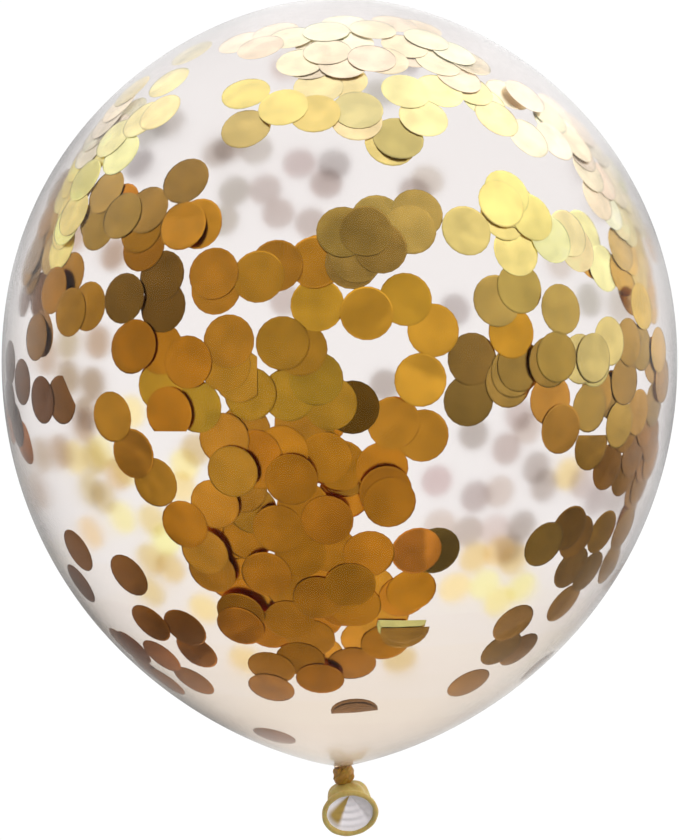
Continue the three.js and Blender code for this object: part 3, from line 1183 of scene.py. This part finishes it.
@dataclass(frozen=True)
class Confetti:
    """Round discs punched from gold foil, held to the film by static."""

    shape: BodyShape
    camera: PhotoCamera
    radius: float = 9.4
    thickness: float = 0.06
    corner_count: int = 20
    first_depth: float = 0.35
    layer_gap: float = 0.15
    table_gap: float = 0.4
    cling: float = 1.85
    crease_share: float = 0.35
    crease_reach: float = 0.6
    bends: tuple[float, float] = (3.0, 8.0)
    tone_swing: float = 0.06
    near_hue_swing: float = 0.025
    far_hue_swing: float = 0.012
    sway: float = 0.06
    settling_rounds: int = 2
    edge_angle: float = math.radians(60)
    crease_margin: float = 0.1
    strip_corners: int = 6

    @property
    def flap(self) -> float:
        """How far the turned-over part of a folded disc lies under the rest."""
        return 3 * self.thickness

    def profile_columns(self) -> tuple[Array, Array]:
        """Half of a disc's corners: the way across its strips, and half the length of each strip."""
        turn = (np.arange(self.corner_count // 2) + 0.5) * 2 * math.pi / self.corner_count
        return -self.radius * np.cos(turn), self.radius * np.sin(turn)

    def layers(self, points: Array, walls: Array, fold: Array) -> Array:
        """How deep each disc lies: one gap under the deepest earlier disc, or its flap, that it overlaps."""
        depth = np.full(len(points), self.first_depth)
        reach = self.cling * self.radius
        for i in range(1, len(points)):
            apart = np.linalg.norm(points[:i] - points[i], axis=1)
            over = (apart < reach) & (walls[:i] == walls[i])
            if over.any():
                depth[i] = (depth[:i] + self.flap * fold[:i])[over].max() + self.layer_gap
        return depth

    def free_behind(self, points: Array, walls: Array, depth: Array) -> Array:
        """True for each disc that has no deeper disc of its own wall right behind it."""
        apart = np.linalg.norm(points[:, None] - points[None, :], axis=2)
        over = (apart < 2 * self.radius) & (walls[:, None] == walls[None, :])
        return ~(over & (depth[None, :] > depth[:, None])).any(axis=1)

    def bent_columns(self, place: Array, turn: Array, fold: Array) -> tuple[Array, Array, Array]:
        """The path across each bent disc, on a film that is laid out flat.

        The heading at a point of the path is the crease's turn before the crease and zero after it.
        Adding up the steps along the headings gives the path, which is then moved so that the point
        at the crease, or the middle of a plain disc, is at the origin.

        Returns:
            Along and up coordinates of the columns, and their headings.
        """
        way, _ = self.profile_columns()
        middle = (way[:-1] + way[1:]) / 2
        before = middle[None, :] < (place * self.radius)[:, None]
        heading = np.where(before, -turn[:, None], 0.0)
        step = np.diff(way)[None, :]
        start = np.zeros((len(turn), 1))
        along = np.concatenate([start, np.cumsum(step * np.cos(heading), axis=1)], axis=1)
        up = np.concatenate([start, np.cumsum(step * np.sin(heading), axis=1)], axis=1)
        anchor = np.argmin(np.abs(way[None, :] - (place * self.radius)[:, None]), axis=1)
        rows = np.arange(len(turn))
        along = along - along[rows, anchor][:, None] + way[anchor][:, None]
        up = up - up[rows, anchor][:, None]
        column_before = way[None, :] < (place * self.radius)[:, None] - self.crease_margin
        up = up + np.where(column_before & fold[:, None], self.flap, 0.0)
        between = (heading[:, 1:] + heading[:, :-1]) / 2
        return along, up, np.concatenate([heading[:, :1], between, heading[:, -1:]], axis=1)

    def lay_out(self, drifts: tuple[Drift, ...], rng: np.random.Generator) -> dict:
        """Turns drifts into arrays: one row for each disc.

        Args:
            drifts: the drifts, from the film inwards.
            rng: the seeded generator.

        Returns:
            Places, frames, bends and colours of the discs by name.
        """
        pixels = np.array([p for d in drifts for p in d.centres], float)
        count = np.array([len(d.centres) for d in drifts])
        near = np.repeat([d.wall is Wall.NEAR for d in drifts], count)
        # Each disc's colour: its drift's tint times the drift's shade, which is painted light and shade.
        base = np.repeat([np.array(linear(d.tint.value)[:3]) * d.shade for d in drifts], count, axis=0)
        place = np.repeat([d.form.value[0] for d in drifts], count)
        turn = np.radians(np.repeat([d.form.value[1] for d in drifts], count))
        aim = np.repeat([d.heading for d in drifts], count)
        fold = turn > math.pi / 2
        wall = self.shape.hits(self.camera.eye(self.shape), self.camera.rays(pixels), near)
        normal = -self.shape.normals(wall)
        depth = self.layers(wall, near, fold)
        total = len(pixels)
        spin = np.where(aim < 0, rng.uniform(0, 360, total), aim)
        first = np.stack([np.cos(np.radians(spin)), np.sin(np.radians(spin)), np.zeros(total)], axis=1)
        first = unit(first - normal * np.einsum("ij,ij->i", first, normal)[:, None])
        second = np.cross(normal, first)
        free = self.free_behind(wall, near, depth)
        creased = (turn == 0) & near & (rng.random(total) < self.crease_share)
        place = np.where(creased, rng.uniform(-self.crease_reach, self.crease_reach, total), place)
        bend = np.where(turn > 0, turn, np.radians(rng.uniform(*self.bends, total)))
        creased |= (turn > 0) & ~fold
        turn = np.where(creased, np.where(free, bend, 0.0), turn)
        hue = np.where(near, self.near_hue_swing, self.far_hue_swing)[:, None]
        tone = rng.normal(1.0, self.tone_swing, (total, 1)) * (1 + rng.normal(0, 1, (total, 3)) * hue)
        return {
            "wall": wall,
            "depth": depth,
            "normal": normal,
            "first": first,
            "second": second,
            "place": place,
            "turn": turn,
            "fold": fold,
            "pinch": np.where(creased & ~free, bend, 0.0),
            "colour": np.clip(base * tone, 0, 1),
            "sway": rng.normal(0, self.sway, (total, 3)),
        }

    def build(
        self, name: str, drifts: tuple[Drift, ...], finish: bpy.types.Material, seed: int
    ) -> bpy.types.Object:
        """Makes all discs of some drifts as one piece.

        Each disc is cut into strips across its bend. Its corners are the path across the strips,
        carried half a strip's length to both sides, with the foil's thickness along the path's normal.
        Then each corner moves along the film's normal until its depth under the film is the disc's
        own depth plus its height over the flat path, so that the disc clings to the film.
        """
        discs = self.lay_out(drifts, np.random.default_rng(seed))
        along, up, heading = self.bent_columns(discs["place"], discs["turn"], discs["fold"])
        way, half = self.profile_columns()
        total, columns = along.shape
        loops = []
        for face in (1.0, -1.0):
            shift = face * self.thickness / 2
            x = along - shift * np.sin(heading)
            z = up + shift * np.cos(heading)
            for side in (1.0, 0.0, -1.0):
                y = np.broadcast_to(side * half, x.shape)
                loops.append(np.stack([x, y, z], axis=-1))
        local = np.stack(loops, axis=1)
        wanted = discs["depth"][:, None, None] + local[..., 2]
        world = (
            discs["wall"][:, None, None, :]
            + local[..., :1] * discs["first"][:, None, None, :]
            + local[..., 1:2] * discs["second"][:, None, None, :]
            + wanted[..., None] * discs["normal"][:, None, None, :]
        )
        for _ in range(self.settling_rounds):
            depth, inward = self.shape.depth_inside(world)
            world = world + inward * (wanted - depth)[..., None]
        world[..., 2] = np.maximum(world[..., 2], self.table_gap + wanted - self.first_depth)
        piece = mesh_piece(name, [(world.reshape(-1, 3), [self.disc_faces(total, columns)])], finish)
        piece.data.set_sharp_from_angle(angle=self.edge_angle)
        self.write_layers(piece.data, discs, way, half)
        return piece

    def disc_faces(self, total: int, columns: int) -> Array:
        """Quads of every disc: strips on both faces, and the cut edge all round."""
        j = np.arange(columns - 1)
        row = columns * np.arange(self.strip_corners)
        # The rows go round the strip: three on the film's side, and three on the other.
        bands = ((0, 1), (1, 2), (2, 5), (5, 4), (4, 3), (3, 0))
        quads = [row[[a, b, b, a]] + j[:, None] + [0, 0, 1, 1] for a, b in bands]
        ends = np.array([[0, 3, 4, 1], [1, 4, 5, 2]])
        one = np.vstack([*quads, row[ends], row[ends[:, ::-1]] + columns - 1])
        first = np.arange(total)[:, None, None] * self.strip_corners * columns
        return (one[None] + first).reshape(-1, 4)

    def write_layers(self, mesh: bpy.types.Mesh, discs: dict, way: Array, half: Array) -> None:
        """Writes each disc's colour, with its painted light and shade, and lean, and a map in which the disc
        is a round of unit width.

        The lean is one small vector for the whole disc, and a shallow crease adds to it on one side.
        """
        corners = self.strip_corners * len(way)
        colour = discs["colour"]
        beyond = way[None, :] < (discs["place"] * self.radius)[:, None]
        pinch = np.where(beyond, np.tan(discs["pinch"])[:, None], 0.0)
        pinch = np.tile(pinch, (1, self.strip_corners))
        sway = discs["sway"][:, None, :] + pinch[..., None] * discs["first"][:, None, :]
        lean = mesh.attributes.new("sway", "FLOAT_VECTOR", "POINT")
        lean.data.foreach_set("vector", sway.astype(np.float32).ravel())
        rgba = np.ones((len(colour) * corners, 4), np.float32)
        rgba[:, :3] = colour.repeat(corners, axis=0)
        layer = mesh.attributes.new("foil_colour_with_painted_light", "FLOAT_COLOR", "POINT")
        layer.data.foreach_set("color", rgba.ravel())
        across = np.tile(np.concatenate([half, 0 * half, -half]), 2)
        along = np.tile(way, self.strip_corners)
        flat = np.stack([along, across], axis=1) / (2 * self.radius) + 0.5
        every = np.tile(flat, (len(colour), 1)).astype(np.float32)
        numbers = np.zeros(len(mesh.loops), np.int32)
        mesh.loops.foreach_get("vertex_index", numbers)
        uv = mesh.uv_layers.new(name="disc_round")
        uv.data.foreach_set("uv", every[numbers].ravel())


@dataclass(frozen=True)
class Lobe:
    """A soft patch of light: its direction, its brightness, and the cosines where it starts and is full."""

    towards: tuple[float, float, float]
    brightness: float
    start: float
    full: float


@dataclass(frozen=True)
class Studio:
    """A white table, white surroundings, and the soft boxes and dark flags that shape the shine.

    Straight looks, and looks through the film alone, see plain white. Anything mirrored or scattered
    sees the soft boxes, as with a product set against a lit white sweep. Each face of the film and
    each sheet of foil that a path goes through is one pass: the film's own shine has two at most, the
    foil's has four or more, and a straight look has four, or five with foil in its way. The table and
    the lamp are measured in metres.
    """

    shape: BodyShape
    white: float = 1.02
    backlight: float = 2.4
    through_foil: float = 1.65
    film_shine: float = 0.66
    surroundings: float = 0.45
    patch_scale: float = 3.2
    patch_swing: float = 0.25
    patch_edges: tuple[float, float] = (0.32, 0.68)
    shine_passes: int = 2
    clear_passes: int = 4
    ambient: float = 1.0
    darkest: float = 0.03
    table_width: float = 40.0
    lamp_width: float = 0.7
    lamp_power: float = 9.0
    lamp_place: tuple[float, float, float] = (0.55, 0.35, 0.95)
    lamp_aim: tuple[float, float, float] = (0.0, -0.1, 0.15)
    bounces: int = 24
    mirror_bounces: int = 8
    lobes: tuple[Lobe, ...] = (
        Lobe((0.1, 1.0, 0.05), 0.75, 0.4, 0.85),
        Lobe((0.9, 0.45, 0.3), 0.4, 0.65, 0.95),
        Lobe((0.0, 0.5, 0.87), -0.5, 0.95, 0.99),
        Lobe((0.8, -0.6, 0.0), -0.55, 0.82, 0.96),
        Lobe((-0.85, -0.6, -0.1), -0.5, 0.86, 0.97),
        Lobe((0.0, -1.0, 0.0), -0.2, 0.5, 0.9),
        Lobe((-0.5, -0.35, -0.8), -0.45, 0.7, 0.95),
        Lobe((0.5, -0.5, -0.7), -0.1, 0.7, 0.95),
        Lobe((0.2, -0.85, -0.45), 0.5, 0.82, 0.97),
    )

    def light(self, tree: Tree, direction: Socket, scattered: float) -> Socket:
        """Brightness seen towards a direction.

        A straight look sees plain white, one that came through foil as well the lit-up level, and a
        scattered path the given one. A mirrored path sees the soft patches of a furnished room round the
        ambient level, plus each lobe's smooth step. The film's own shine sees a share of that.

        Args:
            tree: the node tree of the world or the table.
            direction: a unit vector socket.
            scattered: the level that a path sees after it was scattered.

        Returns:
            A socket with the brightness.
        """
        patches = noise(tree, direction, self.patch_scale, 2.0, 0.45)
        swing = self.ambient * self.patch_swing
        level = ramp(tree, patches, *self.patch_edges, self.ambient - swing, self.ambient + swing)
        for lobe in self.lobes:
            towards = tuple(unit(np.array(lobe.towards)))
            facing = vector(tree, "DOT_PRODUCT", direction, other=towards).outputs["Value"]
            patch = ramp(tree, facing, lobe.start, lobe.full, 0.0, lobe.brightness)
            level = reckon(tree, "ADD", patch, level)
        level = reckon(tree, "MAXIMUM", level, self.darkest)
        path = add_node(tree, "LightPath").outputs
        dimmed = reckon(tree, "MULTIPLY", level, self.film_shine)
        level = self.past(tree, path["Transmission Depth"], self.shine_passes, dimmed, level)
        seen = self.past(tree, path["Transmission Depth"], self.clear_passes, self.white, self.through_foil)
        seen = self.past(tree, path["Diffuse Depth"], 0, seen, scattered)
        return self.past(tree, path["Glossy Depth"], 0, seen, level)

    @staticmethod
    def past(
        tree: Tree, depth: Socket, count: int, before: float | Socket, after: float | Socket
    ) -> Socket:
        """One value for paths up to a number of bounces of one kind, and another past it."""
        test = reckon(tree, "GREATER_THAN", depth, count + 0.5)
        return add_node(tree, "Mix", {"Factor": test, 2: before, 3: after}, data_type="FLOAT").outputs[0]

    def build_world(self) -> None:
        """Surrounds the scene with the studio's light."""
        world = bpy.data.worlds.new("studio")
        world.use_nodes = True
        tree = world.node_tree
        tree.nodes.clear()
        level = self.light(tree, add_node(tree, "TexCoord").outputs["Generated"], self.surroundings)
        light = add_node(tree, "Background", {"Strength": level})
        add_node(tree, "OutputWorld", {"Surface": light.outputs[0]})
        world.cycles.sampling_method = "NONE"
        bpy.context.scene.world = world

    def build_table(self) -> None:
        """A large white sheet that glows evenly, as opal acrylic lit from below."""
        mesh = bpy.data.meshes.new("table")
        half = self.table_width / 2
        corners = [(-half, -half, 0), (half, -half, 0), (half, half, 0), (-half, half, 0)]
        mesh.from_pydata(corners, [], [(0, 1, 2, 3)])
        table = bpy.data.objects.new("table", mesh)
        bpy.context.scene.collection.objects.link(table)
        material, tree = new_material("opal_acrylic")
        middle = (0.0, 0.0, self.shape.axis_height * MM)
        away = vector(tree, "SUBTRACT", add_node(tree, "TexCoord").outputs["Object"], other=middle)
        direction = vector(tree, "NORMALIZE", away.outputs[0])
        level = self.light(tree, direction.outputs[0], self.backlight)
        show(tree, add_node(tree, "Emission", {"Strength": level}))
        material.cycles.emission_sampling = "NONE"
        mesh.materials.append(material)

    def build_lamp(self) -> None:
        """A large soft box from the upper right, which models the knot and the tail."""
        data = bpy.data.lights.new("soft_box", "AREA")
        data.shape = "DISK"
        data.size = self.lamp_width
        data.energy = self.lamp_power
        lamp = bpy.data.objects.new("soft_box", data)
        lamp.location = self.lamp_place
        aim = Vector(self.lamp_aim) - lamp.location
        lamp.rotation_euler = aim.to_track_quat("-Z", "Y").to_euler()
        lamp.visible_camera = False
        lamp.visible_glossy = False
        lamp.visible_transmission = False
        bpy.context.scene.collection.objects.link(lamp)

    def build(self) -> None:
        """Sets the view transform and the depth of see-through paths, and lights the scene."""
        scene = bpy.context.scene
        scene.view_settings.view_transform = "Standard"
        scene.cycles.max_bounces = self.bounces
        scene.cycles.transmission_bounces = self.bounces
        scene.cycles.glossy_bounces = self.mirror_bounces
        self.build_world()
        self.build_table()
        self.build_lamp()


def dress(piece: bpy.types.Object, stands_for_node: bool = False) -> None:
    """Ties a piece to the frame: its body and the node that it stands for."""
    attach(piece, BODY)
    if stands_for_node:
        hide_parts(NODE)
    log.info("%s: %d faces", piece.name, len(piece.data.polygons))


def main() -> None:
    """Builds the balloon, its knot and tail, its confetti and the studio, in that order."""
    logging.basicConfig(level=logging.INFO)
    shape = BodyShape.from_frame()
    camera = PhotoCamera()
    camera.build(shape)
    film = LatexFilm(shape).build(ClearLatex(), ClearLatex(tint="#f5ece2"))
    dress(film, stands_for_node=True)
    end = TiedEnd(shape)
    for piece in (
        end.build_neck(ClearLatex("gathered_latex", "#f8eeda", roughness=0.5)),
        end.build_knot(GatheredLatex("knotted_latex", "#ba8c36", "#6a450c")),
        end.build_tail(GatheredLatex("rolled_latex", "#c2ae66", "#a88c48")),
        end.build_lining(MouthLining()),
    ):
        dress(piece, stands_for_node=True)
    confetti = Confetti(shape, camera)
    # The near discs' colours hold painted light and shade; the far discs' pale colours are painted haze, the
    # veil of light that the near film lays over them.
    near_foil = GoldFoil("metallised_foil_with_painted_light", glow_share=0.1).material()
    far_foil = GoldFoil("far_foil_with_painted_haze", glow_share=0.92).material()
    dress(confetti.build("confetti_near", NEAR_DRIFTS, near_foil, SEED))
    dress(confetti.build("confetti_far", FAR_DRIFTS, far_foil, SEED + 1))
    Studio(shape).build()


if __name__ == "__main__":
    main()
